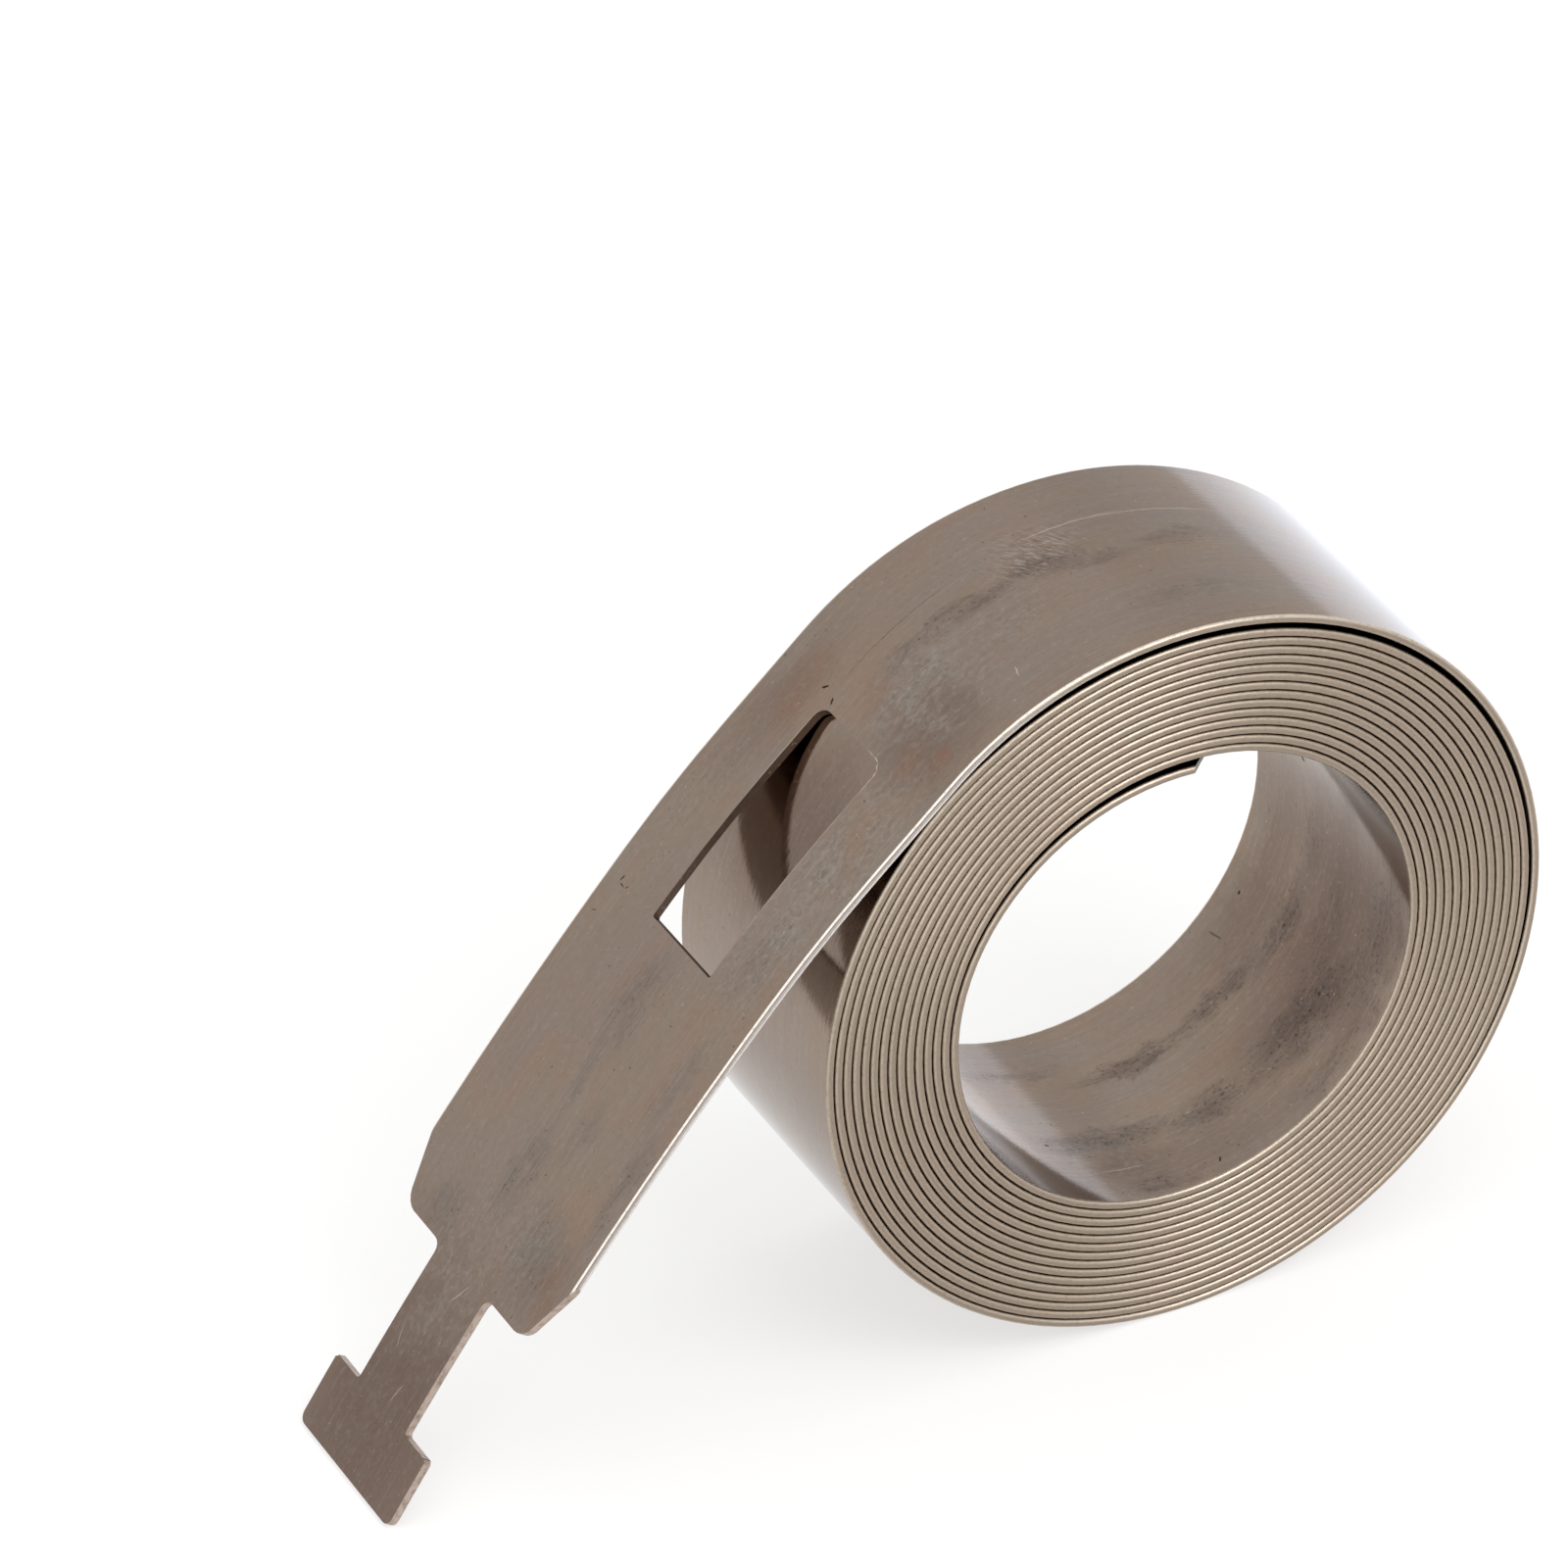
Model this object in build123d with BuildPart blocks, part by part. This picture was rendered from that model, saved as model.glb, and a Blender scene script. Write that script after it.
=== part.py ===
from build123d import *
from math import asin, atan2, cos, degrees, radians
import os

# Sash balance spring: one spring-steel strip, wound into a coil that pays out as the sash
# travels. The outer end runs off the coil as a tail with a window and a T-shaped hook.
# Lengths in millimetres, angles in degrees. The coil's axis is Y through the origin, the
# front faces -Y, and the coil's rim and the hook's tip both stand on the ground.

os.makedirs("parts", exist_ok=True)

# The strip
strip_width = 12.7
strip_thickness = 0.35

# The winding, in half turns about two centres set a quarter pitch each side of the axis
turn_gap = 0.047
rim_radius = 16.2
rim_joint_angle = -75
wound_half_turns = 28
outer_turn_slack = 0.11

# The free inner end, which springs a little inwards off the last turn
last_turn_held = 90
free_end_angle = 121
free_end_spring = 0.22
nose_length = 2.5

# The tail, from the coil to the hook's tip: a knee, a straight, a bow and a long slight bow
knee_angle = 28
straight_length = 4.8
bow_radius = 59.5
bow_length = 6.3
tail_radius = 178
tail_length = 26.8

# The hook at the tail's tip
shoulder_taper = 1.2
shoulder_taper_length = 3.2
shoulder_corner = 0.9
neck_width = 4.2
neck_length = 6.6
neck_corner = 0.45
head_width = 8.1
head_length = 3.2
head_notch_corner = 0.2
head_side_corner = 0.4
head_tip_corner = 0.4

# The window between the hook and the coil
window_length = 10.8
window_width = 4.9
window_inner_corner = 0.6
window_outer_corner = 0.1
window_to_tip = 25.6

# Each turn lies one strip and one gap inside the turn before it
pitch = strip_thickness + turn_gap
held_radius = rim_radius - pitch / 4
outer_turn_radius = rim_radius + pitch / 4 + outer_turn_slack

# The knee brings the straight down to one gap above the turn beneath it
lean = cos(radians(knee_angle))
straight_offset = held_radius - lean * pitch / 4 + pitch
knee_radius = (straight_offset - lean * (2 * outer_turn_radius - rim_radius)) / (1 - lean)

hook_length = shoulder_taper_length + neck_length + head_length

# The punches go through the strip and stop short of the turn next to it. Past its ends and
# sides they reach by a margin.
punch_depth = strip_thickness + turn_gap / 2
nose_depth = strip_thickness + free_end_spring
punch_margin = 0.1


def arc_on(path, radius, sweep):
    # An arc that carries on smoothly from the end of the line before it
    return JernArc(path @ 1, path % 1, radius, sweep)


# The strip seen from the front. Its outer side comes first, then its inner side, each run
# from the rim joint: back over the outer turn to the hook's tip, then in along the winding.
tips = []
free_ends = []
tail_parts = []
inner_ends = []
with BuildLine() as strip_outline:
    for depth in (0, strip_thickness):
        joint = Vector(rim_radius - depth, 0).rotate(Axis.Z, rim_joint_angle)
        heading = Vector(0, 1).rotate(Axis.Z, rim_joint_angle)

        outer_turn = JernArc(joint, heading, outer_turn_radius - depth, 180)
        knee = arc_on(outer_turn, knee_radius - depth, knee_angle)
        straight = PolarLine(knee @ 1, straight_length, direction=knee % 1)
        bow = arc_on(straight, bow_radius - depth, degrees(bow_length / bow_radius))
        tail = arc_on(bow, tail_radius - depth, degrees(tail_length / tail_radius))
        tips.append(tail @ 1)
        tail_parts.append([straight, bow, tail])

        turn = JernArc(joint, -heading, held_radius - depth, -180)
        if depth == 0:
            rim = turn
        for half_turn in range(1, wound_half_turns):
            turn = arc_on(turn, held_radius - half_turn * pitch / 2 - depth, -180)
        held = held_radius - wound_half_turns * pitch / 2 - depth
        turn = arc_on(turn, held, -last_turn_held)
        turn = arc_on(turn, held - free_end_spring, -free_end_angle)
        free_ends.append(turn @ 1)
        inner_ends.append(turn)
    Line(*tips)
    Line(*free_ends)

# Turned about the axis until the rim and the tip's inner corner are level on the ground
reach = tips[1] - rim.arc_center
rest_turn = degrees(asin(rim.radius / reach.length) - atan2(-reach.Y, -reach.X))
side_plane = Plane.XZ.rotated((0, -rest_turn, 0))
tail_outside = Wire(tail_parts[0])
free_end_inside = Wire([inner_ends[1]])


def chord_plane(path, *from_end):
    # Touches a face of the strip at two distances from the end of its path, the far one
    # given first and taken as the origin, with X towards the end
    spots = []
    for distance in from_end:
        along = path.length - distance
        spot = path.position_at(along, position_mode=PositionMode.LENGTH)
        spots.append(side_plane.from_local_coords(spot))
    x_dir = spots[1] - spots[0]
    return Plane(origin=spots[0], x_dir=x_dir, z_dir=x_dir.cross(Vector(0, -1, 0)))


with BuildPart() as balance_spring:
    # The strip at its full width
    with BuildSketch(side_plane):
        make_face(strip_outline.edges())
    extrude(amount=strip_width / 2, both=True)

    # Nose of the free inner end, with both corners cut off
    half_width = strip_width / 2
    with BuildSketch(chord_plane(free_end_inside, nose_length, 0)):
        with BuildLine():
            Polyline(
                (-punch_margin, half_width + punch_margin),
                (nose_length + punch_margin, half_width + punch_margin),
                (nose_length + punch_margin, half_width - nose_length - punch_margin),
                close=True,
            )
        make_face()
        mirror(about=Plane.XZ)
    extrude(amount=nose_depth, both=True, mode=Mode.SUBTRACT)

    # Hook: what is punched away beside the shoulders, the neck and the head
    head_x = shoulder_taper_length + neck_length
    beyond_x = hook_length + punch_margin
    beyond_y = half_width + punch_margin
    with BuildSketch(chord_plane(tail_outside, hook_length, 0)) as hook_waste:
        with BuildLine():
            Polyline(
                (0, half_width),
                (shoulder_taper_length, half_width - shoulder_taper),
                (shoulder_taper_length, neck_width / 2),
                (head_x, neck_width / 2),
                (head_x, head_width / 2),
                (beyond_x, head_width / 2),
                (beyond_x, beyond_y),
                (0, beyond_y),
                close=True,
            )
        make_face()
        for row, end, radius in (
            (2, -1, head_side_corner),
            (2, 0, head_notch_corner),
            (1, 0, neck_corner),
            (1, -1, shoulder_corner),
        ):
            corner = hook_waste.vertices().group_by(Axis.X)[row].sort_by(Axis.Y)[end]
            fillet(corner, radius)
        mirror(about=Plane.XZ)
    extrude(amount=punch_depth, both=True, mode=Mode.SUBTRACT)
    hook_tip = balance_spring.faces().filter_by(GeomType.PLANE).sort_by(Axis.X)[0]
    fillet(hook_tip.edges().group_by(Edge.length)[0], head_tip_corner)

    # Window, sharp at the end towards the hook
    inner_end = window_to_tip + window_length
    with BuildSketch(chord_plane(tail_outside, inner_end, window_to_tip)) as window:
        with Locations((window_length / 2, 0)):
            Rectangle(window_length, window_width)
        fillet(window.vertices().group_by(Axis.X)[-1], window_outer_corner)
        fillet(window.vertices().group_by(Axis.X)[0], window_inner_corner)
    extrude(amount=punch_depth, both=True, mode=Mode.SUBTRACT)

balance_spring.part.label = "balance_spring"
export_step(balance_spring.part, "parts/balance_spring.step")
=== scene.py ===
from math import asin, atan2, ceil, cos, pi, radians, sin, tan

import bpy
from mathutils import Matrix, Vector


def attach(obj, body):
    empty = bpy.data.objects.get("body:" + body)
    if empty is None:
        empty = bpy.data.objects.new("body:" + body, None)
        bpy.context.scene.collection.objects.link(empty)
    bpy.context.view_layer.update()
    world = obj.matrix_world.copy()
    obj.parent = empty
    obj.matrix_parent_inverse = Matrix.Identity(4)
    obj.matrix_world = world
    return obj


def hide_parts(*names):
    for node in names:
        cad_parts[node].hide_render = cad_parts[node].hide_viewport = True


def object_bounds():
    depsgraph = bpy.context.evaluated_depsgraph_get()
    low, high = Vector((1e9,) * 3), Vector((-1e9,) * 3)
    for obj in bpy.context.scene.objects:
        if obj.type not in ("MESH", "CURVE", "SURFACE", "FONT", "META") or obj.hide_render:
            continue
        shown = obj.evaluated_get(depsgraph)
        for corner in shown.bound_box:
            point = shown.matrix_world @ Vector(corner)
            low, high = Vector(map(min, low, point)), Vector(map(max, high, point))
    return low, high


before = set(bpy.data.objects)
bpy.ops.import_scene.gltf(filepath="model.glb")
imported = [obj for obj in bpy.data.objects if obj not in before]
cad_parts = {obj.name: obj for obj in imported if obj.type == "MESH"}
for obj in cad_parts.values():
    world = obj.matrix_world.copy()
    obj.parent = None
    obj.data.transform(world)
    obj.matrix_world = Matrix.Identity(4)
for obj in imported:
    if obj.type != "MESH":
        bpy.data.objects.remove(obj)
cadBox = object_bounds()
print("frame loaded, box", cadBox)

mm = 0.001


def deselectAll():
    for each in bpy.context.selected_objects:
        each.select_set(False)


def makeActive(piece):
    deselectAll()
    piece.select_set(True)
    bpy.context.view_layer.objects.active = piece


def clearPicks(piece, mode):
    # nothing of the mesh stays picked, ready for faces or edges to be picked in code
    makeActive(piece)
    bpy.ops.object.mode_set(mode="EDIT")
    bpy.ops.mesh.select_mode(type=mode)
    bpy.ops.mesh.select_all(action="DESELECT")
    bpy.ops.object.mode_set(mode="OBJECT")


def pickEdges(piece, wanted):
    clearPicks(piece, "EDGE")
    points = piece.data.vertices
    for edge in piece.data.edges:
        edge.select = wanted(points[edge.vertices[0]].co, points[edge.vertices[1]].co)
    bpy.ops.object.mode_set(mode="EDIT")


def applyModifier(piece, kind, **settings):
    modifier = piece.modifiers.new(kind.title(), kind)
    for name, value in settings.items():
        setattr(modifier, name, value)
    makeActive(piece)
    bpy.ops.object.modifier_apply(modifier=modifier.name)


def addBox(name, low, high):
    deselectAll()
    middle = [(a + b) / 2 * mm for a, b in zip(low, high)]
    bpy.ops.mesh.primitive_cube_add(size=1, location=middle)
    box = bpy.context.object
    box.name = name
    box.scale = [(b - a) * mm for a, b in zip(low, high)]
    bpy.ops.object.transform_apply(location=True, rotation=False, scale=True)
    return box


# The strip is first made flat: X runs from the hook's tip to the free inner end,
# Y is the depth, from the outer face at 0 down to the inner one, and Z is the width.
strip = {  # mm and degrees
    "width": 12.7,
    "thickness": 0.35,
    "turnGap": 0.047,
    "edgeRound": 0.15,
    "edgeSteps": 4,
    "cutEvery": 0.8,  # one cross cut per this length, so that the bend is smooth
    "rimRadius": 16.2,
    "rimJointAngle": -75,  # where the wound turns end and the outer turn begins
    "halfTurns": 28,  # the radius drops by half a pitch from each to the next
    "outerSlack": 0.11,
    "lastTurnHeld": 90,
    "freeEndAngle": 121,
    "freeEndSpring": 0.22,
    "freeEndNose": 2.5,
    "kneeAngle": 28,
    "straightLength": 4.8,
    "bowRadius": 59.5,
    "bowLength": 6.3,
    "tailRadius": 178,
    "tailLength": 26.8,
    "tailCuts": 12,  # pieces of the path, because the tail's sweep is small
    "pathStep": 2.5,  # largest turn between two points of the path
    "smoothAngle": 40,
}

pitch = strip["thickness"] + strip["turnGap"]
heldRadius = strip["rimRadius"] - pitch / 4
outerRadius = strip["rimRadius"] + pitch / 4 + strip["outerSlack"]
# the knee brings the straight down to one gap above the turn beneath it
kneeCos = cos(radians(strip["kneeAngle"]))
straightOffset = heldRadius - kneeCos * pitch / 4 + pitch
kneeRadius = (straightOffset - kneeCos * (2 * outerRadius - strip["rimRadius"])) / (1 - kneeCos)


def turned(vector, angle):
    return Matrix.Rotation(angle, 2) @ vector


def runArc(points, heading, radius, sweep):
    # carries the path on along an arc; a positive sweep turns left
    side = turned(heading, pi / 2 if sweep > 0 else -pi / 2)
    centre = points[-1] + side * radius
    steps = ceil(abs(sweep) / radians(strip["pathStep"]))
    arm = points[-1] - centre
    for step in range(1, steps + 1):
        points.append(centre + turned(arm, sweep * step / steps))
    return turned(heading, sweep)


# outward from the rim joint to the hook's tip
jointAngle = radians(strip["rimJointAngle"])
joint = turned(Vector((strip["rimRadius"], 0)), jointAngle)
heading = turned(Vector((0, 1)), jointAngle)
outward = [joint]
heading = runArc(outward, heading, outerRadius, pi)
heading = runArc(outward, heading, kneeRadius, radians(strip["kneeAngle"]))
outward.append(outward[-1] + heading * strip["straightLength"])
heading = runArc(outward, heading, strip["bowRadius"], strip["bowLength"] / strip["bowRadius"])
tailSweep = strip["tailLength"] / strip["tailRadius"]
for cut in range(strip["tailCuts"]):
    heading = runArc(outward, heading, strip["tailRadius"], tailSweep / strip["tailCuts"])
tipInner = outward[-1] + turned(heading, pi / 2) * strip["thickness"]

# inward from the rim joint to the free end
inward = [joint]
heading = turned(Vector((0, -1)), jointAngle)
for halfTurn in range(strip["halfTurns"]):
    heading = runArc(inward, heading, heldRadius - halfTurn * pitch / 2, -pi)
lastRadius = heldRadius - strip["halfTurns"] * pitch / 2
heading = runArc(inward, heading, lastRadius, -radians(strip["lastTurnHeld"]))
freeRadius = lastRadius - strip["freeEndSpring"]
heading = runArc(inward, heading, freeRadius, -radians(strip["freeEndAngle"]))

# turned about the axis until rim and tip stand level
rimCentre = joint - turned(Vector((heldRadius, 0)), jointAngle)
reach = tipInner - rimCentre
restTurn = asin(heldRadius / reach.length) - atan2(-reach.y, -reach.x)
path = [turned(point, restTurn) for point in reversed(outward)]
path += [turned(point, restTurn) for point in inward[1:]]
pathLength = sum((b - a).length for a, b in zip(path, path[1:]))
print("path", len(path), "points", round(pathLength, 2), "mm, rest turn", restTurn)

spring = addBox("springStrip", (0, -strip["thickness"], -strip["width"] / 2),
                (pathLength, 0, strip["width"] / 2))
# the four long edges are rounded
pickEdges(spring, lambda a, b: abs(a.x - b.x) > strip["width"] * mm)
bpy.ops.mesh.bevel(offset=strip["edgeRound"] * mm, segments=strip["edgeSteps"], affect="EDGES")
bpy.ops.object.mode_set(mode="OBJECT")
# two rounds of cross cuts, because one subdivide makes a hundred cuts at most
firstCuts = 40
for cuts in (firstCuts, round(pathLength / strip["cutEvery"] / (firstCuts + 1))):
    pickEdges(spring, lambda a, b: abs(a.x - b.x) > strip["cutEvery"] / 2 * mm)
    bpy.ops.mesh.subdivide(number_cuts=cuts)
    bpy.ops.object.mode_set(mode="OBJECT")
print("flat strip", len(spring.data.vertices), "points")

# The hook's waste, the window and the nose of the free end are punched out of the flat strip.
hook = {  # mm from the tip, and across the strip from its middle
    "headLength": 3.2,
    "headWidth": 8.1,
    "neckLength": 6.6,
    "neckWidth": 4.2,
    "taper": 1.2,
    "taperLength": 3.2,
    "tipCorner": 0.4,
    "headSideCorner": 0.4,
    "headNotchCorner": 0.2,
    "neckCorner": 0.45,
    "shoulderCorner": 0.9,
    "windowStart": 25.6,
    "windowLength": 10.8,
    "windowWidth": 4.9,
    "windowOuterCorner": 0.1,
    "windowInnerCorner": 0.6,
    "cornerSteps": 4,
    "beyond": 1.0,  # how far each punch reaches past the strip
}

stripSide = strip["width"] / 2
punchSide = stripSide + hook["beyond"]
samePlace = 0.01 * mm  # how near two points count as one


def punch(name, start, end, inner, outer):
    return addBox(name, (start, -strip["thickness"] - hook["beyond"], min(inner, outer)),
                  (end, hook["beyond"], max(inner, outer)))


def uprightAt(places):
    # picks the edges through the thickness at the given places of the flat strip
    def atPlace(a, b):
        upright = abs(a.x - b.x) < samePlace and abs(a.z - b.z) < samePlace
        return upright and any(
            abs(a.x - x * mm) < samePlace and abs(a.z - z * mm) < samePlace for x, z in places)
    return atPlace


def roundCorners(piece, places, radius):
    pickEdges(piece, uprightAt(places))
    bpy.ops.mesh.bevel(offset=radius * mm, segments=hook["cornerSteps"], affect="EDGES")
    bpy.ops.object.mode_set(mode="OBJECT")


def cornerPunch(name, corner, reach, side):
    # A wedge that cuts off a corner of the strip: corner is the X of the cut where it meets
    # the strip's side, and reach how far the cut runs along X for each mm across.
    across = hook["beyond"] + abs(stripSide - hook["headWidth"] / 2)
    near, far = corner + reach * hook["beyond"], corner - reach * across
    piece = punch(name, min(near, far), max(near, far),
                  side * (stripSide - across), side * punchSide)
    pickEdges(piece, uprightAt([(near, side * (stripSide - across))]))
    bpy.ops.transform.translate(value=(0, 0, side * (across + hook["beyond"]) * mm))
    bpy.ops.mesh.select_all(action="SELECT")
    bpy.ops.mesh.remove_doubles()
    bpy.ops.mesh.normals_make_consistent()
    bpy.ops.object.mode_set(mode="OBJECT")
    return piece


def cutAway(punchPiece):
    applyModifier(spring, "BOOLEAN", object=punchPiece, operation="DIFFERENCE", solver="EXACT")
    bpy.data.objects.remove(punchPiece)


def joinOn(piece, other):
    # adds a second punch to the first, and clears the seams between their flat faces
    applyModifier(piece, "BOOLEAN", object=other, operation="UNION", solver="EXACT")
    bpy.data.objects.remove(other)
    clearPicks(piece, "FACE")
    bpy.ops.object.mode_set(mode="EDIT")
    bpy.ops.mesh.select_all(action="SELECT")
    bpy.ops.mesh.dissolve_limited()
    bpy.ops.object.mode_set(mode="OBJECT")


windowEnd = hook["windowStart"] + hook["windowLength"]
halfWindow = hook["windowWidth"] / 2
window = punch("windowPunch", hook["windowStart"], windowEnd, -halfWindow, halfWindow)
roundCorners(window, [(hook["windowStart"], -halfWindow), (hook["windowStart"], halfWindow)],
             hook["windowOuterCorner"])
roundCorners(window, [(windowEnd, -halfWindow), (windowEnd, halfWindow)],
             hook["windowInnerCorner"])
cutAway(window)

headLength = hook["headLength"]
shoulderAt = headLength + hook["neckLength"]
halfNeck = hook["neckWidth"] / 2
halfHead = hook["headWidth"] / 2
shoulderZ = stripSide - hook["taper"]
taperReach = hook["taperLength"] / hook["taper"]
shoulderTurn = atan2(hook["taperLength"], hook["taper"])
shoulderSetBack = hook["shoulderCorner"] * tan(shoulderTurn / 2)
for side in (-1, 1):
    waste = punch("hookWastePunch", headLength, shoulderAt, side * halfNeck, side * punchSide)
    joinOn(waste, punch("headPunch", -hook["beyond"], headLength + hook["beyond"],
                        side * halfHead, side * punchSide))
    joinOn(waste, cornerPunch("taperPunch", shoulderAt + hook["taperLength"], taperReach, side))
    roundCorners(waste, [(headLength, side * halfHead)], hook["headSideCorner"])
    roundCorners(waste, [(headLength, side * halfNeck)], hook["headNotchCorner"])
    roundCorners(waste, [(shoulderAt, side * halfNeck)], hook["neckCorner"])
    roundCorners(waste, [(shoulderAt, side * shoulderZ)], shoulderSetBack)
    cutAway(waste)
    # 45 degrees at the nose, where the cut runs the other way
    cutAway(cornerPunch("nosePunch", pathLength - strip["freeEndNose"], -1, side))
roundCorners(spring, [(0, -halfHead), (0, halfHead)], hook["tipCorner"])
print("punched strip", len(spring.data.vertices), "points")


def hexColour(text):
    # an sRGB hex colour as the linear numbers a shader takes
    parts = [int(text[i:i + 2], 16) / 255 for i in (1, 3, 5)]
    return [c / 12.92 if c <= 0.04045 else ((c + 0.055) / 1.055) ** 2.4 for c in parts] + [1]


def addNode(tree, kind, inputs=None, **settings):
    # adds a node with its settings, and fills its inputs with values or links them
    node = tree.nodes.new(kind)
    for name, value in settings.items():
        setattr(node, name, value)
    for name, value in (inputs or {}).items():
        if isinstance(value, bpy.types.Node):
            value = value.outputs[0]
        if isinstance(value, bpy.types.NodeSocket):
            tree.links.new(value, node.inputs[name])
        else:
            node.inputs[name].default_value = value
    return node


def newMaterial(name):
    material = bpy.data.materials.new(name)
    material.use_nodes = True
    material.node_tree.nodes.clear()
    return material, material.node_tree


mixA, mixB, mixOut = 6, 7, 2  # the colour sockets of a Mix node

# Stainless spring strip, cold rolled to a satin face. It mirrors broad shapes softly, has a
# brown heat tint that clouds over to grey, and bears soft smudges, frosted patches where the
# turns have rubbed, reddish tints round the window, nicks and scratches. Some marks are painted
# light: painted shade on the turn seen through the window and above the gap under the outer
# turn, and painted highlights round the window's rim.
stripFinish = {
    "brown": "#8E7969",
    "grey": "#877E75",
    "plum": "#83746F",
    # the dull tone also paints shade on the turn seen through the window
    "dullStainAndShade": "#6D5B51",
    "smudge": "#564A44",
    "film": "#6A6561",
    "rust": "#86604C",
    "frost": "#A8A29D",
    "pit": "#63564E",
    # the nick tone also paints shade above the outer turn's gap
    "nickAndGapShade": "#2E2721",
    # the scratch tone also paints highlights round the window's rim
    "scratchAndRimHighlight": "#C2B4A6",
    "roughness": 0.075,
    "rubbedRoughness": 0.16,  # added where it is frosted or smudged
    "cloudRoughness": 0.04,
    "nickRoughness": 0.6,
    "patterns": {  # mm along and across, detail, roughness and degrees of lean
        "cloud": (5.0, 2.6, 5.0, 0.55, 0),
        "plumCloud": (8.0, 4.0, 3.0, 0.5, 0),
        "grain": (0.34, 0.26, 4.0, 0.65, 0),  # real grain is finer, but would not show
        "rollingLine": (5.0, 0.12, 2.0, 0.5, 0),
        "patch": (2.2, 1.5, 5.0, 0.62, 0),
        "hatch": (0.55, 0.10, 3.0, 0.6, 55),
        "fleck": (0.20, 0.15, 1.0, 0.5, 0),
        "hairline": (3.2, 0.06, 1.0, 0.5, 0),
    },
    "distortion": 0.6,
    "waver": 2.7,  # mm that a mark's rim strays between a pattern's lowest and highest values
    "fineWaver": 0.15,
    "rim": 1.25,  # where a mark has faded out, in half lengths and half widths
    "core": 0.15,  # where it has its full strength
    "fineCore": 0.7,
    "frostRange": (0.36, 0.60),  # of the patches that break up the frost
    "frostLeast": 0.25,
    "relief": 0.0000022,  # m
}

# Marks at their places on the strip: mm along from the tip and across from the middle, half
# length, half width, strength and, where they lean, degrees of lean. Across, the inner face has
# its middle at 40.
marks = {
    "dullStainAndShade": [
        (3.0, 0.0, 9.0, 8.0, 0.95), (38.5, 3.4, 3.2, 3.2, 0.70), (35.0, -4.6, 4.5, 1.8, 0.40),
        (1266.5, 41.5, 9.0, 4.6, 0.95), (1268.0, 36.5, 7.0, 2.6, 0.60),
        # painted shade: the last mark of the next line darkens the turn seen through the window
        (1279.0, 44.4, 8.0, 2.2, 0.45), (12.0, 4.6, 2.4, 2.0, 0.40), (134.0, 0.0, 5.0, 8.0, 0.80),
        (1263.4, 45.3, 5.0, 1.3, 0.60), (1280.8, 43.9, 3.4, 1.5, 0.70),
    ],
    "smudge": [
        (42.6, -0.9, 4.4, 0.65, 0.52, 2), (47.0, -0.9, 2.1, 1.1, 0.55),
        (48.9, 0.0, 1.8, 0.7, 0.36), (52.6, -0.5, 2.6, 0.7, 0.34), (39.6, 0.9, 1.6, 1.0, 0.26),
        (51.5, 3.6, 3.2, 0.6, 0.22), (1266.6, 41.2, 2.4, 1.1, 0.42),
        (1267.6, 43.3, 1.8, 0.8, 0.75), (1270.8, 42.4, 3.6, 1.7, 0.90),
        (1276.0, 42.5, 2.6, 1.0, 0.80), (1281.1, 42.0, 3.6, 1.0, 0.90),
        (1280.2, 45.4, 1.6, 0.5, 0.75), (1267.9, 45.6, 0.5, 0.4, 0.60),
        (1277.0, 37.9, 3.8, 0.6, 0.75), (1272.6, 37.7, 2.8, 0.7, 0.70),
        (1268.6, 38.3, 3.2, 0.8, 0.65), (1283.6, 36.6, 3.6, 0.5, 0.45),
        (1263.8, 38.6, 3.0, 0.8, 0.40), (1260.2, 41.5, 2.4, 0.9, 0.30),
        (1265.6, 44.6, 4.6, 1.6, 0.60), (1270.8, 45.4, 3.6, 0.8, 0.45),
        (133.5, 5.4, 3.0, 1.2, 0.35),
    ],
    "rust": [
        (38.0, -0.4, 1.4, 0.8, 0.50), (37.2, 3.5, 0.9, 0.5, 0.60), (38.3, 4.8, 1.1, 0.6, 0.60),
        (36.4, -4.3, 2.4, 1.0, 0.36), (12.0, 5.0, 1.8, 0.9, 0.40), (33.0, 5.2, 2.2, 0.5, 0.26),
        (1270.0, 39.2, 2.6, 0.9, 0.25),
    ],
    "frost": [
        (31.5, 4.2, 7.5, 2.2, 0.80), (39.8, 1.5, 3.2, 3.0, 0.95), (9.5, 0.0, 5.0, 5.0, 0.40),
        (2.5, 0.0, 3.5, 4.0, 0.12), (12.6, 2.6, 2.6, 2.6, 0.45), (43.6, 1.2, 2.4, 2.0, 0.45),
        (31.0, -4.6, 5.0, 1.2, 0.25), (1280.0, 43.0, 4.0, 2.0, 0.35),
    ],
    "film": [
        (22.6, -0.3, 3.0, 1.2, 0.50), (19.8, -0.5, 2.6, 0.5, 0.38), (14.6, -0.2, 2.6, 1.2, 0.48),
        (12.6, 3.2, 2.4, 1.8, 0.62), (10.8, -3.2, 1.8, 1.4, 0.45), (16.8, 5.2, 3.2, 0.6, 0.50),
        (27.5, 4.2, 2.2, 0.8, 0.42), (22.0, 4.6, 2.4, 0.7, 0.32), (17.5, 1.6, 2.0, 0.7, 0.30),
    ],
    "hatch": [
        (46.8, -1.8, 2.5, 2.1, 0.80),
    ],
}
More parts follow.
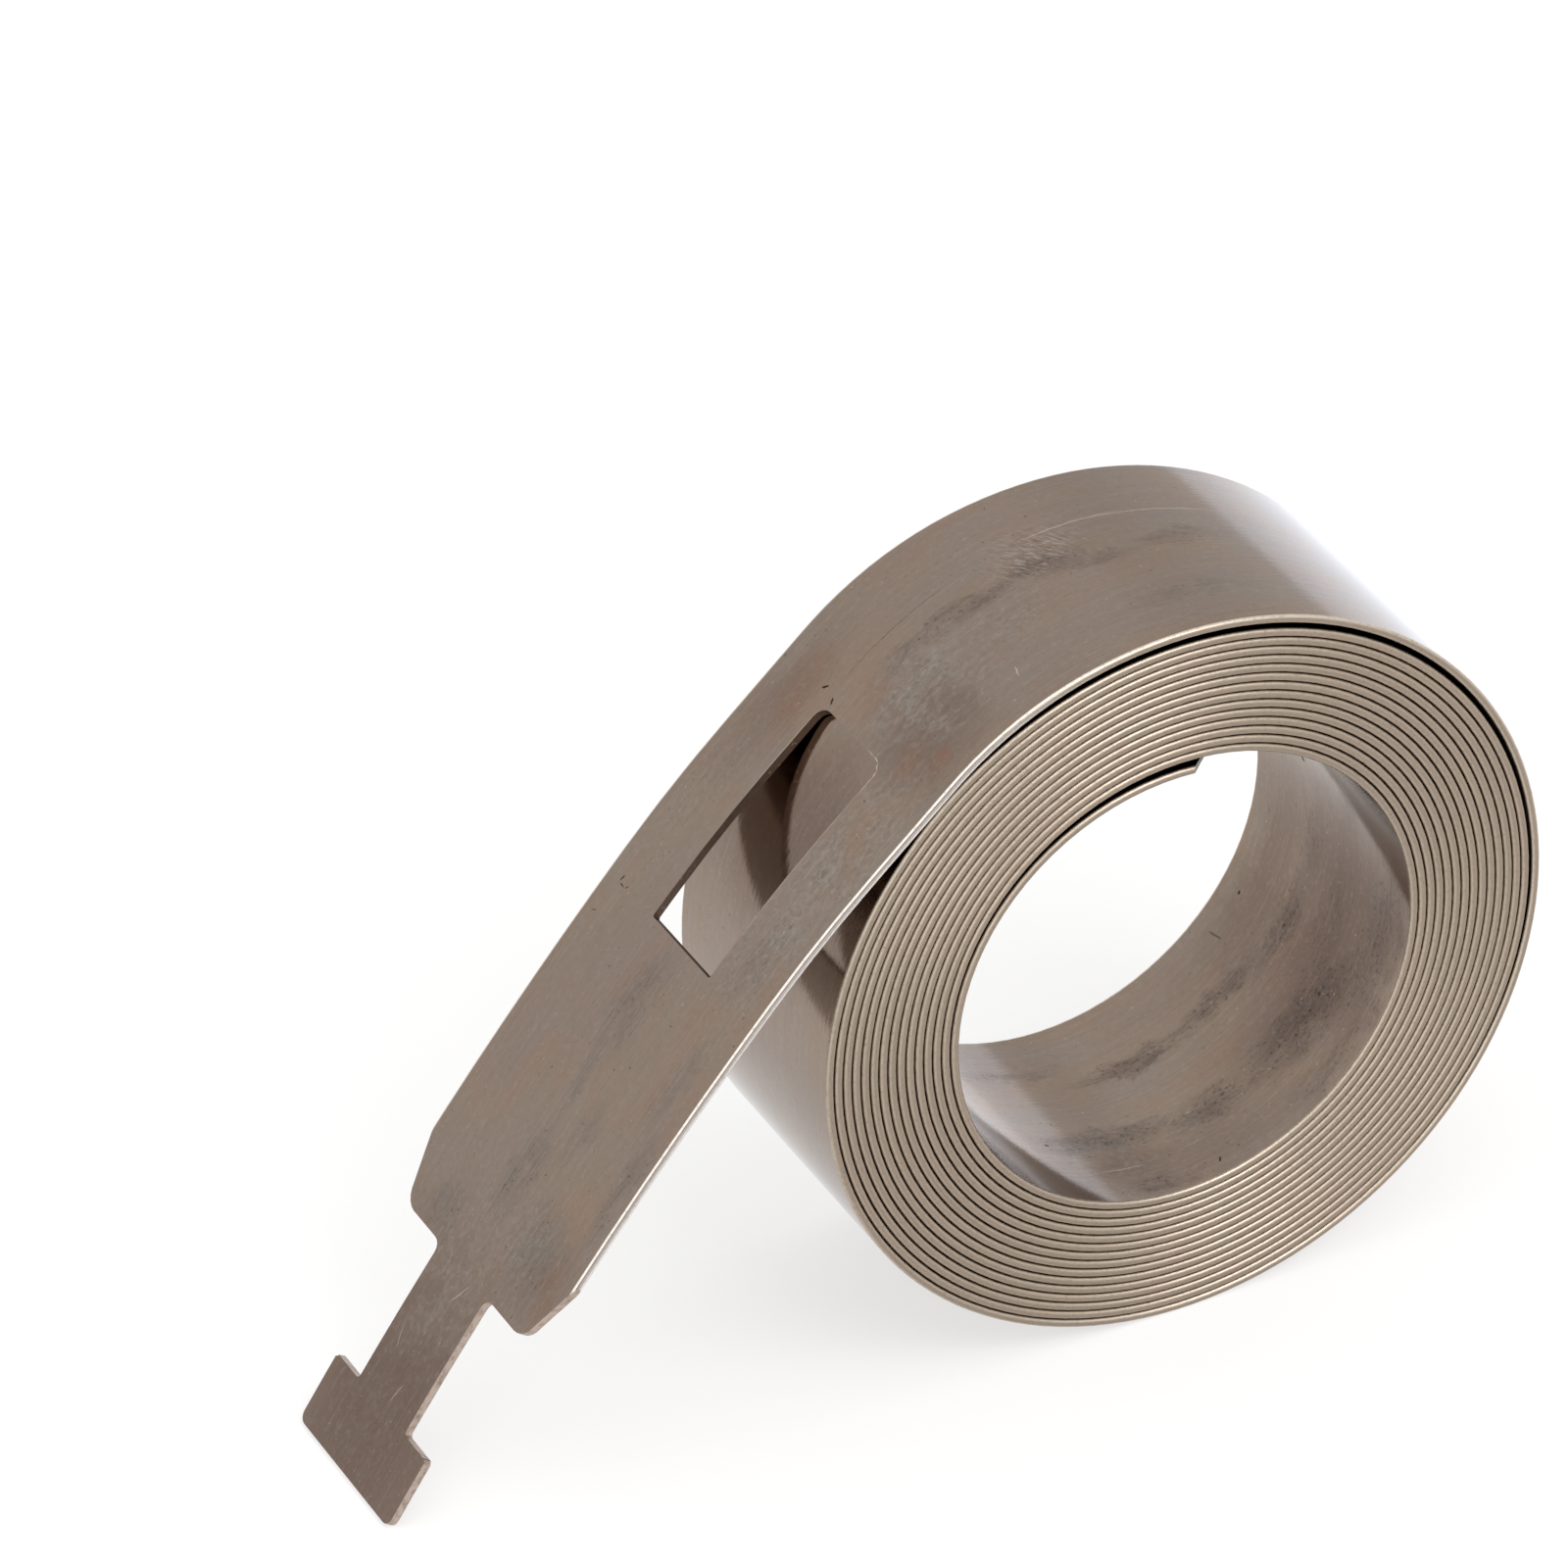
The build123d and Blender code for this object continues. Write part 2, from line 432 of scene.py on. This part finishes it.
fineMarks = {
    "nickAndGapShade": [
        (36.96, -3.05, 0.19, 0.05, 0.95, 45), (36.74, -2.20, 0.16, 0.055, 0.95, -31),
        (25.72, -5.28, 0.16, 0.035, 0.8, 20), (25.50, -5.05, 0.15, 0.035, 0.8, 100),
        (25.60, -4.72, 0.13, 0.03, 0.7, 35), (23.97, -5.58, 0.15, 0.03, 0.6, 60),
        (1260.4, 38.0, 0.16, 0.09, 0.9, 20), (1268.9, 35.1, 0.10, 0.07, 0.9),
        (40.4, -2.53, 3.0, 0.03, 0.35, -1), (1277.5, 45.4, 0.16, 0.05, 0.8, 60),
        (1283.9, 41.9, 0.12, 0.06, 0.8), (1271.0, 35.3, 0.05, 0.45, 0.5, 10),
        # painted shade: a dark patch on the outer turn's inner face above its gap, so that the gap
        # shows black
        (67.0, 40.0, 9.0, 10.0, 1.0),
    ],
    "scratchAndRimHighlight": [
        (48.9, -2.83, 2.2, 0.04, 0.50), (52.6, -2.64, 3.2, 0.035, 0.50, 3),
        # painted highlights: from (36.45, 1.55) to (34.0, -2.50), pale lines round the window's
        # inner corner and along its rim
        (42.8, 3.95, 0.30, 0.028, 0.65, 106), (36.45, 1.55, 0.30, 0.025, 0.40, 90),
        (36.43, 2.02, 0.18, 0.03, 0.75, 105), (36.26, 2.31, 0.18, 0.03, 0.75, 135),
        (35.97, 2.49, 0.18, 0.03, 0.75, 165), (35.45, 2.51, 0.40, 0.03, 0.55),
        (31.2, 2.50, 4.6, 0.022, 0.30), (34.0, -2.50, 2.2, 0.022, 0.35),
        (1281.4, 44.0, 1.2, 0.03, 0.40), (9.0, 0.6, 0.6, 0.03, 0.45, 25),
        (5.8, -1.2, 0.45, 0.03, 0.45, -20), (4.1, 0.4, 0.5, 0.03, 0.40, 15),
    ],
}

stripMetal, tree = newMaterial("coldRolledStainlessStrip")
place = addNode(tree, "ShaderNodeUVMap", uv_map="alongStrip")
patterns = {}
for name, (along, across, detail, roughness, lean) in stripFinish["patterns"].items():
    scaled = addNode(tree, "ShaderNodeMapping", {
        "Vector": place, "Rotation": (0, 0, radians(lean)), "Scale": (along, across, 1)},
        vector_type="TEXTURE")
    patterns[name] = addNode(tree, "ShaderNodeTexNoise", {
        "Vector": scaled, "Scale": 1.0, "Detail": detail, "Roughness": roughness,
        "Distortion": stripFinish["distortion"]})

# coordinates that wander either way, so that no placed mark is a plain oval
wander = {}
for name, stray in (("patch", stripFinish["waver"]), ("grain", stripFinish["fineWaver"])):
    offset = addNode(tree, "ShaderNodeVectorMath", {
        0: patterns[name].outputs["Color"], 1: (0.5, 0.5, 0.5)}, operation="SUBTRACT")
    wander[name] = addNode(tree, "ShaderNodeVectorMath", {
        0: offset, 1: (stray, stray, 0), 2: place}, operation="MULTIPLY_ADD")
cover = {}
for source, kinds, core in ((wander["patch"], marks, stripFinish["core"]),
                            (wander["grain"], fineMarks, stripFinish["fineCore"])):
    for kind, spots in kinds.items():
        cover[kind] = 0.0
        for along, across, halfLength, halfWidth, strength, *lean in spots:
            local = source
            if lean:
                local = addNode(tree, "ShaderNodeVectorRotate", {
                    "Vector": source, "Center": (along, across, 0), "Angle": radians(-lean[0])},
                    rotation_type="Z_AXIS")
            local = addNode(tree, "ShaderNodeVectorMath", {
                0: local, 1: (1 / halfLength, 1 / halfWidth, 0),
                2: (-along / halfLength, -across / halfWidth, 0)}, operation="MULTIPLY_ADD")
            away = addNode(tree, "ShaderNodeVectorMath", {0: local}, operation="LENGTH")
            amount = addNode(tree, "ShaderNodeMapRange", {
                "Value": away.outputs["Value"], "From Min": stripFinish["rim"],
                "From Max": core, "To Max": strength}, interpolation_type="SMOOTHSTEP")
            cover[kind] = addNode(tree, "ShaderNodeMath", {
                0: cover[kind], 1: amount}, operation="MAXIMUM")

patchy = addNode(tree, "ShaderNodeMapRange", {
    "Value": patterns["patch"], "From Min": stripFinish["frostRange"][0],
    "From Max": stripFinish["frostRange"][1], "To Min": stripFinish["frostLeast"]})
cover["frost"] = addNode(tree, "ShaderNodeMath", {
    0: cover["frost"], 1: patchy}, operation="MULTIPLY")

# Layers of colour from the bottom up: the tone, the pattern that spreads it, the pattern's
# values at none and at most of it, how much that is, and the kind of mark that it keeps to
stripLayers = [
    ("grey", "cloud", 0.30, 0.72, 0.75, None),
    ("plum", "plumCloud", 0.42, 0.70, 0.35, None),
    ("dullStainAndShade", "cloud", 0.05, 0.30, 1.0, "dullStainAndShade"),
    ("rust", "patch", 0.30, 0.60, 1.0, "rust"),
    ("smudge", "patch", 0.30, 0.62, 1.0, "smudge"),
    ("nickAndGapShade", "fleck", 0.56, 0.68, 0.75, "smudge"),
    ("film", "patch", 0.32, 0.56, 0.8, "film"),
    ("nickAndGapShade", "fleck", 0.60, 0.70, 0.55, "film"),
    ("pit", "hairline", 0.53, 0.60, 0.9, "film"),
    ("pit", "hairline", 0.56, 0.66, 0.9, "smudge"),
    ("grey", "patch", 0.30, 0.55, 0.8, "frost"),
    ("frost", "grain", 0.46, 0.70, 0.45, "frost"),
    ("pit", "grain", 0.46, 0.28, 0.60, "frost"),
    ("frost", "hatch", 0.50, 0.66, 0.85, "hatch"),
    ("pit", "hatch", 0.48, 0.32, 0.85, "hatch"),
    ("frost", "grain", 0.52, 0.80, 0.20, None),
    ("pit", "grain", 0.44, 0.20, 0.24, None),
    ("nickAndGapShade", "fleck", 0.73, 0.78, 0.50, None),
    ("scratchAndRimHighlight", "fleck", 0.27, 0.22, 0.30, None),
    ("frost", "rollingLine", 0.50, 0.80, 0.13, None),
    ("pit", "rollingLine", 0.46, 0.20, 0.10, None),
]
colour = hexColour(stripFinish["brown"])
for tone, pattern, low, high, most, mask in stripLayers:
    amount = addNode(tree, "ShaderNodeMapRange", {
        "Value": patterns[pattern], "From Min": low, "From Max": high, "To Max": most})
    if mask:
        amount = addNode(tree, "ShaderNodeMath", {0: amount, 1: cover[mask]}, operation="MULTIPLY")
    colour = addNode(tree, "ShaderNodeMix", {
        0: amount, mixA: colour, mixB: hexColour(stripFinish[tone])},
        data_type="RGBA").outputs[mixOut]
# the fine marks on top: nicks, scratches, the painted shade above the outer turn's gap and the
# painted highlights round the window's rim
for tone in fineMarks:
    colour = addNode(tree, "ShaderNodeMix", {
        0: cover[tone], mixA: colour, mixB: hexColour(stripFinish[tone])},
        data_type="RGBA").outputs[mixOut]

# rubbed, smudged and nicked places are matter
worn = addNode(tree, "ShaderNodeMath", {0: cover["frost"], 1: cover["smudge"]}, operation="ADD")
rough = addNode(tree, "ShaderNodeMath", {
    0: worn, 1: stripFinish["rubbedRoughness"], 2: stripFinish["roughness"]},
    operation="MULTIPLY_ADD")
rough = addNode(tree, "ShaderNodeMath", {
    0: patterns["cloud"], 1: stripFinish["cloudRoughness"], 2: rough}, operation="MULTIPLY_ADD")
rough = addNode(tree, "ShaderNodeMath", {
    0: cover["nickAndGapShade"], 1: stripFinish["nickRoughness"], 2: rough}, operation="MULTIPLY_ADD")
relief = addNode(tree, "ShaderNodeMath", {
    0: patterns["rollingLine"], 1: patterns["grain"]}, operation="ADD")
bump = addNode(tree, "ShaderNodeBump", {
    "Height": relief, "Strength": 1.0, "Distance": stripFinish["relief"]})
shader = addNode(tree, "ShaderNodeBsdfPrincipled", {
    "Base Color": colour, "Roughness": rough, "Normal": bump, "Metallic": 1.0})
addNode(tree, "ShaderNodeOutputMaterial", {"Surface": shader})

# The strip's long edges: slit, then dressed round and tumbled. Brighter and matter than the
# face, with a fine speckle, and a warm or grey cast that drifts along the turns. Their rounded
# corners bear a painted highlight, and the tail's edge painted lines of highlight and shade.
edgeFinish = {
    "middle": "#978A7C",
    "middleWarm": "#A09081",
    # painted highlight on the rounded corners, over the middle tone
    "corner": "#C9BBAB",
    "cornerHighlightShare": 0.7,
    "rubbedHighlight": "#DDD1C2",  # brighter painted highlight on the worn corners of the outer turn and the tail
    "rubbedHighlightReach": (95, 125),  # mm from the tip
    "cornerHighlightBand": (0.05, 0.14),  # where the painted corner highlight starts and is full, mm from the middle of the edge
    # the tail's edge, from the outer face down: a painted highlight line, a dark line of painted
    # shade and a pale band of painted highlight
    "tailHighlightLine": "#FDF6ED",
    "tailLitAndShadedTones": [("#81766E", 0.036), ("#B4ACA8", 0.082), ("#E4DEDA", 0.17)],  # mm down
    "tailBlur": 0.014,  # mm
    "tailReach": (38, 46),  # mm from the tip
    "speck": "#6E6458",
    "roughness": 0.42,
    "patterns": {  # mm along and down, detail and roughness
        "drift": (14.0, 0.3, 3.0, 0.5),
        "speckle": (0.20, 0.10, 4.0, 0.7),
    },
    "driftRange": (0.35, 0.65),
    "speckleRange": (0.50, 0.78),
    "speckleShare": 0.6,
    "relief": 0.000003,  # m
}
wallShift = 80  # mm, keeps the edges' marks apart from the face's
edgeMetal, tree = newMaterial("slitAndDressedEdge")
place = addNode(tree, "ShaderNodeUVMap", uv_map="alongStrip")
patterns = {}
for name, (along, down, detail, roughness) in edgeFinish["patterns"].items():
    scaled = addNode(tree, "ShaderNodeMapping", {
        "Vector": place, "Scale": (1 / along, 1 / down, 1)})
    patterns[name] = addNode(tree, "ShaderNodeTexNoise", {
        "Vector": scaled, "Scale": 1.0, "Detail": detail, "Roughness": roughness})
amount = addNode(tree, "ShaderNodeMapRange", {
    "Value": patterns["drift"], "From Min": edgeFinish["driftRange"][0],
    "From Max": edgeFinish["driftRange"][1]})
colour = addNode(tree, "ShaderNodeMix", {
    0: amount, mixA: hexColour(edgeFinish["middle"]), mixB: hexColour(edgeFinish["middleWarm"])},
    data_type="RGBA").outputs[mixOut]
sides = addNode(tree, "ShaderNodeSeparateXYZ", {0: place})
offMiddle = addNode(tree, "ShaderNodeMath", {
    0: sides.outputs["Y"], 1: wallShift - strip["thickness"] / 2}, operation="SUBTRACT")
offMiddle = addNode(tree, "ShaderNodeMath", {0: offMiddle}, operation="ABSOLUTE")
# painted highlight on the rounded corners, by depth from the middle of the edge
amount = addNode(tree, "ShaderNodeMapRange", {
    "Value": offMiddle, "From Min": edgeFinish["cornerHighlightBand"][0],
    "From Max": edgeFinish["cornerHighlightBand"][1], "To Max": edgeFinish["cornerHighlightShare"]})
rubbedHighlight = addNode(tree, "ShaderNodeMapRange", {
    "Value": sides.outputs["X"],
    "From Min": edgeFinish["rubbedHighlightReach"][1], "From Max": edgeFinish["rubbedHighlightReach"][0]})
corner = addNode(tree, "ShaderNodeMix", {
    0: rubbedHighlight, mixA: hexColour(edgeFinish["corner"]), mixB: hexColour(edgeFinish["rubbedHighlight"])},
    data_type="RGBA").outputs[mixOut]
colour = addNode(tree, "ShaderNodeMix", {
    0: amount, mixA: colour, mixB: corner}, data_type="RGBA").outputs[mixOut]
# painted highlight and shade on the tail's edge, by depth
tail = hexColour(edgeFinish["tailHighlightLine"])
for tone, start in edgeFinish["tailLitAndShadedTones"]:
    amount = addNode(tree, "ShaderNodeMapRange", {
        "Value": sides.outputs["Y"], "From Min": wallShift - start + edgeFinish["tailBlur"] / 2,
        "From Max": wallShift - start - edgeFinish["tailBlur"] / 2})
    tail = addNode(tree, "ShaderNodeMix", {
        0: amount, mixA: tail, mixB: hexColour(tone)}, data_type="RGBA").outputs[mixOut]
amount = addNode(tree, "ShaderNodeMapRange", {
    "Value": sides.outputs["X"],
    "From Min": edgeFinish["tailReach"][1], "From Max": edgeFinish["tailReach"][0]})
colour = addNode(tree, "ShaderNodeMix", {
    0: amount, mixA: colour, mixB: tail}, data_type="RGBA").outputs[mixOut]
amount = addNode(tree, "ShaderNodeMapRange", {
    "Value": patterns["speckle"], "From Min": edgeFinish["speckleRange"][0],
    "From Max": edgeFinish["speckleRange"][1], "To Max": edgeFinish["speckleShare"]})
colour = addNode(tree, "ShaderNodeMix", {
    0: amount, mixA: colour, mixB: hexColour(edgeFinish["speck"])},
    data_type="RGBA").outputs[mixOut]
bump = addNode(tree, "ShaderNodeBump", {
    "Height": patterns["speckle"], "Strength": 1.0, "Distance": edgeFinish["relief"]})
shader = addNode(tree, "ShaderNodeBsdfPrincipled", {
    "Base Color": colour, "Normal": bump, "Metallic": 1.0, "Roughness": edgeFinish["roughness"]})
addNode(tree, "ShaderNodeOutputMaterial", {"Surface": shader})

# Walls that the punch sheared: torn and uneven, pale at the hook, dull brown in the window
# and lightest at the nose of the free inner end.
punchFinish = {
    "pale": "#BCABA0",
    "torn": "#95857A",
    "windowTone": "#5C4C41",
    "windowShare": 0.85,
    "windowReach": (21.0, 48.0),  # mm from the tip
    "chip": "#B4A596",
    "nose": "#D6D5CB",
    "noseReach": (1300, 1301),  # mm from the tip
    "roughness": 0.48,
    "tear": (0.35, 0.30, 4.0, 0.65),  # mm along and down, detail and roughness
    "tornRange": (0.45, 0.68),
    "chipRange": (0.60, 0.68),
    "relief": 0.00002,  # m
}
cutMetal, tree = newMaterial("punchedEdge")
place = addNode(tree, "ShaderNodeUVMap", uv_map="alongStrip")
along, down, detail, roughness = punchFinish["tear"]
scaled = addNode(tree, "ShaderNodeMapping", {
    "Vector": place, "Scale": (1 / along, 1 / down, 1)})
tear = addNode(tree, "ShaderNodeTexNoise", {
    "Vector": scaled, "Scale": 1.0, "Detail": detail, "Roughness": roughness})
amount = addNode(tree, "ShaderNodeMapRange", {
    "Value": tear, "From Min": punchFinish["tornRange"][0],
    "From Max": punchFinish["tornRange"][1]})
torn = addNode(tree, "ShaderNodeMix", {
    0: amount, mixA: hexColour(punchFinish["pale"]), mixB: hexColour(punchFinish["torn"])},
    data_type="RGBA").outputs[mixOut]
fromTip = addNode(tree, "ShaderNodeSeparateXYZ", {0: place}).outputs["X"]
pastHook = addNode(tree, "ShaderNodeMath", {
    0: fromTip, 1: punchFinish["windowReach"][0]}, operation="GREATER_THAN")
beforeEnd = addNode(tree, "ShaderNodeMath", {
    0: fromTip, 1: punchFinish["windowReach"][1]}, operation="LESS_THAN")
onNose = addNode(tree, "ShaderNodeMapRange", {
    "Value": fromTip, "From Min": punchFinish["noseReach"][0],
    "From Max": punchFinish["noseReach"][1]})
torn = addNode(tree, "ShaderNodeMix", {
    0: onNose, mixA: torn, mixB: hexColour(punchFinish["nose"])},
    data_type="RGBA").outputs[mixOut]
inWindow = addNode(tree, "ShaderNodeMath", {0: pastHook, 1: beforeEnd}, operation="MULTIPLY")
inWindow = addNode(tree, "ShaderNodeMath", {
    0: inWindow, 1: punchFinish["windowShare"]}, operation="MULTIPLY")
colour = addNode(tree, "ShaderNodeMix", {
    0: inWindow, mixA: torn, mixB: hexColour(punchFinish["windowTone"])},
    data_type="RGBA").outputs[mixOut]
amount = addNode(tree, "ShaderNodeMapRange", {
    "Value": tear, "From Min": punchFinish["chipRange"][0],
    "From Max": punchFinish["chipRange"][1]})
amount = addNode(tree, "ShaderNodeMath", {0: amount, 1: inWindow}, operation="MULTIPLY")
colour = addNode(tree, "ShaderNodeMix", {
    0: amount, mixA: colour, mixB: hexColour(punchFinish["chip"])},
    data_type="RGBA").outputs[mixOut]
bump = addNode(tree, "ShaderNodeBump", {
    "Height": tear, "Strength": 1.0, "Distance": punchFinish["relief"]})
shader = addNode(tree, "ShaderNodeBsdfPrincipled", {
    "Base Color": colour, "Normal": bump, "Metallic": 1.0, "Roughness": punchFinish["roughness"]})
addNode(tree, "ShaderNodeOutputMaterial", {"Surface": shader})

spring.data.materials.clear()
for material in (stripMetal, edgeMetal, cutMetal):
    spring.data.materials.append(material)
edgeSlot, cutSlot = 1, 2
roundStart = (stripSide - strip["edgeRound"]) * mm
for face in spring.data.polygons:
    if abs(face.center.z) > roundStart:
        face.material_index = edgeSlot
    elif abs(face.normal.y) < 0.5:  # upright, so a punch made it
        face.material_index = cutSlot

# UV in mm: along the strip from the tip, and across it. The inner face and the two edges are
# set apart, so that no two of them bear the same marks, and only the front edge has the
# rubbed corners and the tail's tones.
innerFaceShift = 40
backEdgeShift = 1400
uvLayer = spring.data.uv_layers[0] if spring.data.uv_layers else spring.data.uv_layers.new()
uvLayer.name = "alongStrip"
for face in spring.data.polygons:
    for loop in face.loop_indices:
        point = spring.data.vertices[spring.data.loops[loop].vertex_index].co / mm
        if face.material_index == edgeSlot:
            across = point.y + wallShift
            point.x += backEdgeShift if point.z < 0 else 0
        elif face.material_index == cutSlot:
            across = point.y + point.z
        else:
            across = point.z + (innerFaceShift if face.normal.y < 0 else 0)
        uvLayer.data[loop].uv = (point.x, across)
print("finishes and UV on", len(spring.data.polygons), "faces")

# The flat strip is wound up along the path.
pathData = bpy.data.curves.new("windingPath", "CURVE")
pathData.dimensions = "2D"
spline = pathData.splines.new("POLY")
spline.points.add(len(path) - 1)
for splinePoint, spot in zip(spline.points, path):
    splinePoint.co = (spot.x * mm, spot.y * mm, 0, 1)
pathPiece = bpy.data.objects.new("windingPath", pathData)
bpy.context.collection.objects.link(pathPiece)
applyModifier(spring, "CURVE", object=pathPiece, deform_axis="POS_X")
bpy.data.objects.remove(pathPiece)

# stood up, so that the coil's axis lies along Y
makeActive(spring)
spring.rotation_euler = (pi / 2, 0, 0)
bpy.ops.object.transform_apply(location=False, rotation=True, scale=False)
bpy.ops.object.shade_smooth_by_angle(angle=radians(strip["smoothAngle"]))
# the flat faces keep their own normals up to the rounded edges
applyModifier(spring, "WEIGHTED_NORMAL", mode="FACE_AREA", keep_sharp=True)
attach(spring, "root")
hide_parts("balance_spring")
print("wound spring", len(spring.data.polygons), "faces")

# Camera at the photograph's place, for the 1600 px square frame
view = {
    "azimuth": -26.596,
    "elevation": 34.053,
    "roll": -1.278,
    "aim": (-12.044, 4.831, 6.814),  # mm
    "distance": 437.67,  # mm
    "lens": 252.78,
    "sensor": 36,
    "clipStart": 0.01,  # m
}
azimuth, elevation = radians(view["azimuth"]), radians(view["elevation"])
back = Vector((sin(azimuth) * cos(elevation), -cos(azimuth) * cos(elevation), sin(elevation)))
cameraData = bpy.data.cameras.new("productCamera")
cameraData.lens = view["lens"]
cameraData.sensor_width = view["sensor"]
cameraData.clip_start = view["clipStart"]
camera = bpy.data.objects.new("productCamera", cameraData)
bpy.context.collection.objects.link(camera)
camera.location = Vector(view["aim"]) * mm + back * view["distance"] * mm
turn = back.to_track_quat("Z", "Y").to_matrix() @ Matrix.Rotation(radians(view["roll"]), 3, "Z")
camera.rotation_euler = turn.to_euler()
bpy.context.scene.camera = camera

# White paper floor and room
studio = {
    "floorSize": 3.0,  # m
    "floorColour": "#F4F3F1",
    "shadowShare": 0.35,  # how much of the floor's own light and shade the camera sees
    "roomLight": 0.9,
    # the way to the room's darker side, which the coil's top mirrors, and the cosines of its
    # angle at which the dimming starts and is full
    "dimCorner": (0.60, 0.74, 0.25),
    "dimReach": (0.86, 0.985),
    "dimLevel": 0.88,
}
deselectAll()
bpy.ops.mesh.primitive_plane_add(size=studio["floorSize"], location=(0, 0, cadBox[0][2]))
floor = bpy.context.object
floor.name = "paperFloor"
bpy.ops.object.transform_apply(location=True, rotation=False, scale=False)
paper, tree = newMaterial("whitePaperSweep")  # matt, so that it takes a soft shadow
seen = addNode(tree, "ShaderNodeLightPath")
direct = addNode(tree, "ShaderNodeMath", {
    0: seen.outputs["Is Camera Ray"], 1: seen.outputs["Is Glossy Ray"]}, operation="MAXIMUM")
direct = addNode(tree, "ShaderNodeMath", {
    0: direct, 1: seen.outputs["Is Transmission Ray"]}, operation="MAXIMUM")
amount = addNode(tree, "ShaderNodeMath", {
    0: direct, 1: 1 - studio["shadowShare"]}, operation="MULTIPLY")
matt = addNode(tree, "ShaderNodeBsdfDiffuse", {"Color": hexColour(studio["floorColour"])})
glow = addNode(tree, "ShaderNodeEmission", {"Color": (1, 1, 1, 1), "Strength": 1.0})
blend = addNode(tree, "ShaderNodeMixShader", {0: amount, 1: matt, 2: glow})
addNode(tree, "ShaderNodeOutputMaterial", {"Surface": blend})
floor.data.materials.append(paper)

world = bpy.data.worlds.new("whiteRoom")
bpy.context.scene.world = world
world.use_nodes = True
tree = world.node_tree
tree.nodes.clear()
seen = addNode(tree, "ShaderNodeLightPath")
way = addNode(tree, "ShaderNodeTexCoord")
toCorner = addNode(tree, "ShaderNodeVectorMath", {
    0: way.outputs["Generated"], 1: Vector(studio["dimCorner"]).normalized()},
    operation="DOT_PRODUCT")
mirrored = addNode(tree, "ShaderNodeMapRange", {
    "Value": toCorner.outputs["Value"], "From Min": studio["dimReach"][0],
    "From Max": studio["dimReach"][1], "To Min": 1.0, "To Max": studio["dimLevel"]},
    interpolation_type="SMOOTHSTEP")
level = addNode(tree, "ShaderNodeMix", {
    0: seen.outputs["Is Glossy Ray"], 2: studio["roomLight"], 3: mirrored})
straight = addNode(tree, "ShaderNodeMath", {
    0: seen.outputs["Is Camera Ray"], 1: seen.outputs["Is Transmission Ray"]},
    operation="MAXIMUM")
level = addNode(tree, "ShaderNodeMix", {0: straight, 2: level, 3: 1.0})
room = addNode(tree, "ShaderNodeBackground", {"Strength": level, "Color": (1, 1, 1, 1)})
addNode(tree, "ShaderNodeOutputWorld", {"Surface": room})

# Soft boxes that face the coil, and a glowing card that slopes up off the paper behind it,
# which the camera doesn't see: the coil's right side mirrors it
softBoxes = {  # metres and watts
    "topBox": {"place": (-0.10, -0.15, 0.60), "size": (0.6, 0.6), "power": 0.9},
    "frontBox": {"place": (0.12, -0.42, 0.46), "size": (0.4, 0.3), "power": 1.65},
    "leftFrontBox": {"place": (-0.45, -0.60, 0.14), "size": (0.5, 0.4), "power": 0.8},
    "slopingCard": {"place": (0.0415, 0.0632, 0.0080), "size": (0.10, 0.088), "power": 0.0166,
                    "back": (0.1716, 0.4467, -0.8804), "across": (0.495, -0.811, -0.315),
                    "colour": "#C4D8F4"},
}
for name, box in softBoxes.items():
    lampData = bpy.data.lights.new(name, "AREA")
    lampData.shape = "RECTANGLE"
    lampData.size, lampData.size_y = box["size"]
    lampData.energy = box["power"]
    lampData.color = hexColour(box.get("colour", "#FFFFFF"))[:3]
    lamp = bpy.data.objects.new(name, lampData)
    bpy.context.collection.objects.link(lamp)
    lamp.location = box["place"]
    if "across" in box:  # turned to lie along an edge
        back, along = Vector(box["back"]), Vector(box["across"])
        lamp.rotation_euler = Matrix((along, back.cross(along), back)).transposed().to_euler()
    else:
        lamp.rotation_euler = Vector(box["place"]).to_track_quat("Z", "Y").to_euler()
    lamp.visible_camera = False

bpy.context.scene.view_settings.view_transform = "Standard"

print("camera and studio set")
